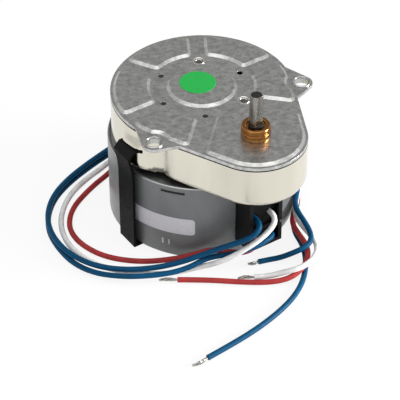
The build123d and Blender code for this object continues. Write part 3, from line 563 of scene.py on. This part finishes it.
def slot_swell(run, height):
    """How far the wall swells towards the near strap's slot, by the way along it and the height."""
    swell = SWELL_DEPTH * ease((-0.3 - run) / 6.2) * ease((run + 13.2) / 2.0) * ease((13.2 - height) / 5.0)
    return swell * (0.4 + 0.6 * ease(height / 3.0))


class SideWall:
    """One long side of the housing, with its outward and lengthwise directions."""

    def __init__(self, side):
        under, over = (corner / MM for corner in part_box("gearbox_housing"))
        self.low = under.z
        self.main_r = over.y
        lobe_r = OUTPUT[1] - under.y
        lean = math.asin((self.main_r - lobe_r) / -OUTPUT[1])
        self.away = Vector((side * math.cos(lean), -math.sin(lean), 0.0))
        self.along = Vector((-side * math.sin(lean), -math.cos(lean), 0.0))
        self.lug = Vector((side * LUGS[1][0], LUGS[1][1]))

    def cut(self, bm, place, normal):
        """Divide the upright faces of this side at a plane."""
        faces = [
            face for face in bm.faces
            if abs(face.normal.z) < 0.8 and face.calc_center_median().dot(self.away) > WALL_OUT * MM]
        edges = dict.fromkeys(edge for face in faces for edge in face.edges)
        corners = dict.fromkeys(corner for face in faces for corner in face.verts)
        bmesh.ops.bisect_plane(
            bm, geom=faces + list(edges) + list(corners), dist=1e-7, plane_co=place, plane_no=normal)

    def divide(self, bm):
        """Divide this side into strips that are fine enough to bend."""
        for step in range(int(WALL_START / WALL_STEP), int(WALL_END / WALL_STEP) + 1):
            self.cut(bm, self.along * step * WALL_STEP * MM, self.along)
        for height in WALL_HEIGHTS:
            self.cut(bm, (0.0, 0.0, (self.low + height) * MM), (0.0, 0.0, 1.0))

    def bend(self, bm, near_slot):
        """Draw the wall softly in under its lug and, at the near strap, out towards the slot."""
        for corner in bm.verts:
            place = corner.co / MM
            run, out, height = place.dot(self.along), place.dot(self.away), place.z - self.low
            if out < WALL_OUT or not WALL_START < run < WALL_END:
                continue
            plain = self.main_r if run > 0 else math.sqrt(self.main_r ** 2 - run ** 2)
            foot = max(0.0, FOOT_CHAMFER - height)
            at_lug = (place.xy - self.lug).length <= LUG_ROOM_R + WALL_SLACK
            if not at_lug and plain - out > foot + WALL_SLACK:
                continue
            swell = slot_swell(run, height) if near_slot else 0.0
            corner.co += self.away * (plain - lug_hollow(run) + swell - foot - out) * MM
        bmesh.ops.remove_doubles(bm, verts=bm.verts[:], dist=WALL_SLACK * MM)


class GEARMOTOR_OT_housing(bpy.types.Operator):
    """Add the drawn housing"""
    bl_idname = "gearmotor.housing"
    bl_label = "Housing"

    def execute(self, context):
        bm = node_copy("gearbox_housing")
        for side, near_slot in ((-1, True), (1, False)):
            wall = SideWall(side)
            wall.divide(bm)
            wall.bend(bm, near_slot)
        low, high = (corner.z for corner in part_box("gearbox_housing"))
        foot = low + 1.3 * MM
        brim = high - 0.1 * MM
        soften(bm, sizes().foot_edge, 4, 30.0, lambda edge: highest(edge) < foot, False)
        soften(bm, sizes().seam_edge, 3, 50.0, lambda edge: lowest(edge) > brim, False)
        soften(bm, sizes().sheet_edge, 2, 50.0, lambda edge: foot < lowest(edge) < high - MM)
        shell = piece("drawn_housing", bm, plated_housing(), "housing_sheet", "gearbox_housing")
        seam = (high - sizes().seam_edge) / MM
        tint(shell, plain_steel("seam shade", (0.03, 0.028, 0.025), 0.6),
             lambda middle, normal: middle.z > seam)
        return {"FINISHED"}


class GEARMOTOR_OT_eyelets(bpy.types.Operator):
    """Add the rolled eyelets in the lugs"""
    bl_idname = "gearmotor.eyelets"
    bl_label = "Lug eyelets"

    def execute(self, context):
        low, high = (corner.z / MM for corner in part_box("lug_eyelets"))
        profile = [
            (2.5, low), (2.5, high - 0.45), (2.72, high - 0.45), (2.83, high - 0.36), (2.85, high - 0.24),
            (2.78, high - 0.1), (2.62, high - 0.02), (2.5, high), (2.36, high - 0.04), (2.24, high - 0.16),
            (2.17, high - 0.36), (2.15, high - 0.6), (2.15, low), (2.5, low)]
        piece("rolled_eyelets", spun_pair(profile, LUGS), plain_steel("eyelet steel", (0.5, 0.5, 0.49), 0.25),
              "eyelet_steel", "lug_eyelets", crease=60.0)
        return {"FINISHED"}


def stake_heads(bm):
    """Press four dents into the cup of each post's head."""
    cup = (COVER_TOP - 0.3) * MM
    for corner in bm.verts:
        centre = POSTS[0] if corner.co.y > 0 else POSTS[1]
        x, y = corner.co.x / MM - centre[0], corner.co.y / MM - centre[1]
        if corner.co.z > cup and 0.2 < math.hypot(x, y) < 1.2:
            corner.co.z -= 0.3 * MM * max(0.0, math.cos(4 * math.atan2(y, x)))


class GEARMOTOR_OT_posts(bpy.types.Operator):
    """Add the riveted posts with their cupped and staked heads"""
    bl_idname = "gearmotor.posts"
    bl_label = "Cover posts"

    def execute(self, context):
        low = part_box("cover_posts")[0].z / MM
        profile = [
            (0.0, low), (1.6, low), (1.6, COVER_TOP - 1.0), (1.25, COVER_TOP - 1.0), (1.25, COVER_TOP),
            (1.82, COVER_TOP), (1.9, COVER_TOP + 0.1), (1.84, COVER_TOP + 0.19), (1.66, COVER_TOP + 0.2),
            (1.46, COVER_TOP + 0.08), (1.3, COVER_TOP - 0.16), (1.1, COVER_TOP - 0.26),
            (0.7, COVER_TOP - 0.28), (0.35, COVER_TOP - 0.2), (0.0, COVER_TOP - 0.15)]
        bm = spun_pair(profile, POSTS)
        stake_heads(bm)
        heads = piece("riveted_posts", bm, plain_steel("rivet steel", (0.70, 0.69, 0.66), 0.25),
                      "rivet_steel", "cover_posts", crease=50.0)
        # Painted shade: the cup in the middle of each head gets a dark steel.
        tint(heads, plain_steel("painted cup shade", (0.16, 0.155, 0.15), 0.4),
             lambda middle, normal: middle.z > COVER_TOP - 0.7 and normal.z > 0.2 and min(
                 math.hypot(middle.x - x, middle.y - y) for x, y in POSTS) < 1.15)
        return {"FINISHED"}


class GEARMOTOR_OT_bush(bpy.types.Operator):
    """Add the turned output bush"""
    bl_idname = "gearmotor.bush"
    bl_label = "Output bush"

    def execute(self, context):
        low, high = (corner.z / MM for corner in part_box("output_bush"))
        foot = PANEL_TOP
        tall = high - foot
        groove = foot + 0.52 * tall
        profile = [
            (2.3, low), (3.4, low), (3.4, foot), (4.3, foot), (4.4, foot + 0.12), (4.4, groove - 0.3),
            (4.34, groove - 0.16), (4.2, groove - 0.08), (4.0, groove), (3.96, groove + 0.12),
            (4.02, groove + 0.24), (4.18, groove + 0.36), (4.28, groove + 0.56), (4.32, groove + 0.8),
            (4.3, high - 0.6), (4.22, high - 0.34), (4.06, high - 0.14), (3.84, high - 0.03),
            (3.6, high), (3.2, high - 0.05), (2.9, high - 0.25), (2.74, high - 0.6), (2.3, high - 0.6),
            (2.3, low)]
        piece("turned_bush", spun(profile, OUTPUT), sintered_bronze(), "bronze", "output_bush")
        return {"FINISHED"}


class GEARMOTOR_OT_shaft(bpy.types.Operator):
    """Add the output shaft"""
    bl_idname = "gearmotor.shaft"
    bl_label = "Output shaft"

    def execute(self, context):
        bm = node_copy("output_shaft")
        soften(bm, 0.00008, 2, 30.0)
        shaft = piece("ground_shaft", bm, ground_shaft(), "shaft_steel", "output_shaft", body="output")
        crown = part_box("output_shaft")[1].z / MM
        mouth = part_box("output_bush")[1].z / MM + 0.3
        # Painted reflection and shade: the flat top of the tip gets a near-black steel standing for its dark
        # reflection, and the shaft below the bush's mouth gets it for the shade inside the mouth.
        tint(shaft, plain_steel("painted dark reflection and shade", (0.07, 0.065, 0.06), 0.4),
             lambda middle, normal: normal.z > 0.9 and middle.z > crown - 0.1 or middle.z < mouth)
        return {"FINISHED"}


class GEARMOTOR_OT_can(bpy.types.Operator):
    """Add the motor can"""
    bl_idname = "gearmotor.can"
    bl_label = "Motor can"

    def execute(self, context):
        bm = node_copy("motor_can")
        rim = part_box("motor_can")[1].z / MM
        soften(bm, 0.0001, 2, 30.0)
        can = piece("drawn_can", bm, can_steel(), "can_sheet", "motor_can")

        def on_rim(middle, normal):
            return 0.3 < normal.z < 0.95 and middle.z > rim - 0.4 and middle.xy.length > CAN_R - 0.5

        def in_mark(middle, normal):
            depth = CAN_R - middle.xy.length
            return 0.06 < depth < 0.3 and middle.z < MARKS_TOP and abs(normal.z) < 0.5

        # Painted highlight: the rim's rounded faces get a brighter bare steel so that they show as a light
        # line.
        tint(can, plain_steel("painted rim highlight", (0.55, 0.56, 0.56), 0.35), on_rim)
        tint(can, plain_steel("punch mark", (0.6, 0.6, 0.6), 0.4), in_mark)
        return {"FINISHED"}


class GEARMOTOR_OT_end_plate(bpy.types.Operator):
    """Add the plate that closes the can"""
    bl_idname = "gearmotor.end_plate"
    bl_label = "Motor end plate"

    def execute(self, context):
        bm = node_copy("motor_end_plate")
        soften(bm, 0.0001, 2, 30.0)
        plate = piece("closing_plate", bm, plain_steel("plate steel", (0.3, 0.31, 0.32), 0.4),
                      "plate_steel", "motor_end_plate")
        # Painted shade: the tabs out in the can's slots get a near-black steel, so that the slots show dark.
        tint(plate, plain_steel("painted slot shade", (0.05, 0.05, 0.05), 0.5),
             lambda middle, normal: middle.xy.length > CAN_R - CAN_WALL)
        return {"FINISHED"}


class GEARMOTOR_OT_straps(bpy.types.Operator):
    """Add the two black straps"""
    bl_idname = "gearmotor.straps"
    bl_label = "Straps"

    def execute(self, context):
        black = black_finish()
        # Painted shade: above the bend the straps get a plainer black, without the lighter streaks of the
        # finish below.
        shade = plastic("painted strap top shade", (0.004, 0.004, 0.0045), 0.5, shine=0.15)
        for side in ("left", "right"):
            bm = node_copy(f"{side}_strap")
            soften(bm, 0.00022, 3, 12.0)
            strip = piece(f"{side}_black_strap", bm, black, "black_strap", f"{side}_strap")
            tint(strip, shade, lambda middle, normal: middle.z > STRAP_BEND)
        return {"FINISHED"}


class GEARMOTOR_OT_terminal_block(bpy.types.Operator):
    """Add the terminal block"""
    bl_idname = "gearmotor.terminal_block"
    bl_label = "Terminal block"

    def execute(self, context):
        bm = node_copy("terminal_block")
        soften(bm, 0.0002, 2, 40.0)
        piece("moulded_block", bm, plastic("black moulding", colours().block, 0.4, shine=0.1),
              "block_plastic", "terminal_block")
        return {"FINISHED"}


def label_sheet():
    """Label cut flat with two round corners, given its thickness and wrapped round the can."""
    low, high = (corner.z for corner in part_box("can_label"))
    start, end = (math.radians(turn) * CAN_R * MM for turn in (LABEL_START, LABEL_END))
    bm = bmesh.new()
    flat = ((start, 0.0, low), (end, 0.0, low), (end, 0.0, high), (start, 0.0, high))
    bm.faces.new([bm.verts.new(place) for place in flat])
    right = [corner for corner in bm.verts if corner.co.x > (start + end) / 2]
    bmesh.ops.bevel(
        bm, geom=right, offset=sizes().label_corner, affect="VERTICES", segments=5, profile=0.5, material=-1)
    for step in range(1, LABEL_STEPS):
        cut = start + (end - start) * step / LABEL_STEPS
        bmesh.ops.bisect_plane(
            bm, geom=bm.verts[:] + bm.edges[:] + bm.faces[:], plane_co=(cut, 0.0, 0.0),
            plane_no=(1.0, 0.0, 0.0), dist=1e-7)
    bmesh.ops.solidify(bm, geom=bm.faces[:], thickness=-0.00014)
    for corner in bm.verts:
        angle = corner.co.x / (CAN_R * MM)
        radius = (CAN_R + 0.02) * MM + abs(corner.co.y)
        corner.co = (radius * math.cos(angle), radius * math.sin(angle), corner.co.z)
    bmesh.ops.recalc_face_normals(bm, faces=bm.faces[:])
    return bm


def sticker_disc():
    """Round sticker with a softened rim."""
    under, over = (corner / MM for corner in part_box("cover_sticker"))
    middle = (under + over) / 2
    rim = over.x - middle.x
    profile = [
        (0.0, under.z), (rim, under.z), (rim, over.z - 0.04), (rim - 0.04, over.z - 0.01),
        (rim - 0.1, over.z), (0.0, over.z)]
    return spun(profile, middle.xy)


class GEARMOTOR_OT_paper(bpy.types.Operator):
    """Add the bare label on the can and the bare sticker on the cover"""
    bl_idname = "gearmotor.paper"
    bl_label = "Label and sticker"

    def execute(self, context):
        piece("bare_label", label_sheet(), paper("label paper", colours().label, 0.55),
              "label_paper", "can_label")
        piece("bare_sticker", sticker_disc(), paper("sticker paper", colours().sticker, 0.42),
              "sticker_green", "cover_sticker")
        return {"FINISHED"}


class GEARMOTOR_OT_inside(bpy.types.Operator):
    """Give the solids inside and the small fasteners their materials"""
    bl_idname = "gearmotor.inside"
    bl_label = "Inside"

    def execute(self, context):
        steel = plain_steel("stamped steel", (0.42, 0.42, 0.41), 0.38)
        paint(plain_steel("axle steel", (0.10, 0.10, 0.10), 0.35), "gear_axles")
        paint(steel, "lower_pole_plate", "middle_pole_plate", "upper_pole_plate", "rotor_shaft")
        paint(sintered_bronze(), "lower_output_bush", "lower_rotor_bearing", "upper_rotor_bearing")
        paint(plain_steel("gear brass", (0.62, 0.44, 0.16), 0.28), "second_wheel", "rotor_pinion")
        paint(plain_steel("gear steel", (0.40, 0.40, 0.40), 0.32),
              "third_wheel", "output_gear", "output_collar")
        paint(plastic("fibre wheel", (0.55, 0.36, 0.16), 0.5), "first_wheel")
        paint(plastic("bobbin plastic", (0.72, 0.70, 0.62), 0.45), "lower_bobbin", "upper_bobbin")
        paint(plain_steel("copper winding", (0.60, 0.24, 0.10), 0.35, 3000), "lower_winding", "upper_winding")
        paint(plastic("hub plastic", (0.60, 0.58, 0.50), 0.45), "rotor_hub")
        paint(plastic("ferrite", (0.045, 0.045, 0.05), 0.55), "rotor_magnet")
        return {"FINISHED"}


# Studio
def floor_material():
    """Pale floor that shows white to the camera and to metal, and keeps the shadow."""
    finish = Finish("studio floor", colours().floor, 0.0, 0.9)
    path = finish.nodes.new("ShaderNodeLightPath")
    seen = path.outputs["Is Camera Ray"]
    for ray in ("Is Glossy Ray", "Is Transmission Ray"):
        either = finish.nodes.new("ShaderNodeMath")
        either.operation = "MAXIMUM"
        finish.links.new(seen, either.inputs[0])
        finish.links.new(path.outputs[ray], either.inputs[1])
        seen = either.outputs["Value"]
    share = finish.nodes.new("ShaderNodeMath")
    share.operation = "MULTIPLY"
    share.inputs[1].default_value = 0.86
    finish.links.new(seen, share.inputs[0])
    white = finish.nodes.new("ShaderNodeEmission")
    white.inputs["Color"].default_value = (1.0, 1.0, 1.0, 1.0)
    mix = finish.nodes.new("ShaderNodeMixShader")
    finish.links.new(share.outputs["Value"], mix.inputs["Fac"])
    finish.links.new(finish.shader.outputs["BSDF"], mix.inputs[1])
    finish.links.new(white.outputs["Emission"], mix.inputs[2])
    finish.links.new(mix.outputs["Shader"], finish.nodes["Material Output"].inputs["Surface"])
    return finish.material


def soft_lamp(name, place, aim, width, power):
    """Square area lamp turned to a point."""
    lamp = bpy.data.lights.new(name, "AREA")
    lamp.shape = "SQUARE"
    lamp.size = width
    lamp.energy = power
    obj = bpy.data.objects.new(name, lamp)
    obj.location = place
    obj.rotation_euler = (Vector(aim) - Vector(place)).to_track_quat("-Z", "Y").to_euler()
    bpy.context.scene.collection.objects.link(obj)


def studio_world():
    """Soft pale surround with a grey backdrop behind the motor."""
    world = bpy.data.worlds.new("studio surround")
    bpy.context.scene.world = world
    world.use_nodes = True
    nodes, links = world.node_tree.nodes, world.node_tree.links
    place = nodes.new("ShaderNodeTexCoord")
    nearness = nodes.new("ShaderNodeVectorMath")
    nearness.operation = "DOT_PRODUCT"
    nearness.inputs[1].default_value = BACKDROP
    links.new(place.outputs["Generated"], nearness.inputs[0])
    ramp = nodes.new("ShaderNodeValToRGB")
    while len(ramp.color_ramp.elements) < len(BACKDROP_GREYS):
        ramp.color_ramp.elements.new(0.5)
    for element, (position, grey) in zip(ramp.color_ramp.elements, BACKDROP_GREYS):
        element.position = position
        element.color = (grey, grey, grey, 1.0)
    links.new(nearness.outputs["Value"], ramp.inputs["Fac"])
    links.new(ramp.outputs["Color"], nodes["Background"].inputs["Color"])
    nodes["Background"].inputs["Strength"].default_value = 0.7


def studio_floor():
    """Wide level floor under the motor."""
    bm = bmesh.new()
    bmesh.ops.create_grid(bm, x_segments=1, y_segments=1, size=4.0)
    mesh = bpy.data.meshes.new("studio_floor")
    bm.to_mesh(mesh)
    bm.free()
    mesh.materials.append(floor_material())
    floor = bpy.data.objects.new("studio_floor", mesh)
    bpy.context.scene.collection.objects.link(floor)


def photo_camera():
    """Camera at the photo's view."""
    camera = bpy.data.cameras.new("photo view")
    camera.sensor_width = 36.0
    camera.lens = VIEW_LENS
    camera.clip_start = 0.01
    view = bpy.data.objects.new("photo view", camera)
    back, side = (Vector(way).normalized() for way in (VIEW_BACK, VIEW_SIDE))
    up = back.cross(side)
    eye = (back * VIEW_DISTANCE + side * VIEW_SHIFT[0] + up * VIEW_SHIFT[1]) * MM
    view.matrix_world = Matrix.Translation(eye) @ Matrix((side, up, back)).transposed().to_4x4()
    bpy.context.scene.collection.objects.link(view)
    bpy.context.scene.camera = view


class GEARMOTOR_OT_stage(bpy.types.Operator):
    """Add the floor, the lamps, the surround and the camera"""
    bl_idname = "gearmotor.stage"
    bl_label = "Studio"

    def execute(self, context):
        studio_floor()
        aim = (0.0, -0.01, 0.03)
        soft_lamp("overhead", (-0.05, -0.1, 0.85), aim, 1.0, 3.0)
        soft_lamp("left", (-0.75, -0.15, 0.45), aim, 0.5, 0.3)
        soft_lamp("right", (0.65, -0.55, 0.2), aim, 0.35, 13.0)
        studio_world()
        photo_camera()
        context.scene.view_settings.view_transform = "Standard"
        return {"FINISHED"}


OPERATORS = (
    GEARMOTOR_OT_leads, GEARMOTOR_OT_cover, GEARMOTOR_OT_housing, GEARMOTOR_OT_eyelets, GEARMOTOR_OT_posts,
    GEARMOTOR_OT_bush, GEARMOTOR_OT_shaft, GEARMOTOR_OT_can, GEARMOTOR_OT_end_plate, GEARMOTOR_OT_straps,
    GEARMOTOR_OT_terminal_block, GEARMOTOR_OT_paper, GEARMOTOR_OT_inside, GEARMOTOR_OT_stage)


class GEARMOTOR_PT_panel(bpy.types.Panel):
    """Lists the motor's pieces, sizes and colours"""
    bl_idname = "GEARMOTOR_PT_panel"
    bl_label = "Gear motor"
    bl_space_type = "VIEW_3D"
    bl_region_type = "UI"
    bl_category = "Gear motor"

    def draw(self, context):
        for operator in OPERATORS:
            self.layout.operator(operator.bl_idname)
        for group in (context.scene.motor_sizes, context.scene.motor_colours):
            for name in group.__annotations__:
                self.layout.prop(group, name)


CLASSES = (MotorSizes, MotorColours) + OPERATORS + (GEARMOTOR_PT_panel,)


def register():
    for cls in CLASSES:
        bpy.utils.register_class(cls)
    bpy.types.Scene.motor_sizes = PointerProperty(type=MotorSizes)
    bpy.types.Scene.motor_colours = PointerProperty(type=MotorColours)


def unregister():
    del bpy.types.Scene.motor_colours
    del bpy.types.Scene.motor_sizes
    for cls in reversed(CLASSES):
        bpy.utils.unregister_class(cls)


def main():
    register()
    bpy.ops.gearmotor.leads()
    bpy.ops.gearmotor.cover()
    bpy.ops.gearmotor.housing()
    bpy.ops.gearmotor.eyelets()
    bpy.ops.gearmotor.posts()
    bpy.ops.gearmotor.bush()
    bpy.ops.gearmotor.shaft()
    bpy.ops.gearmotor.can()
    bpy.ops.gearmotor.end_plate()
    bpy.ops.gearmotor.straps()
    bpy.ops.gearmotor.terminal_block()
    bpy.ops.gearmotor.paper()
    bpy.ops.gearmotor.inside()
    bpy.ops.gearmotor.stage()
    bpy.context.view_layer.update()


if __name__ == "__main__":
    main()
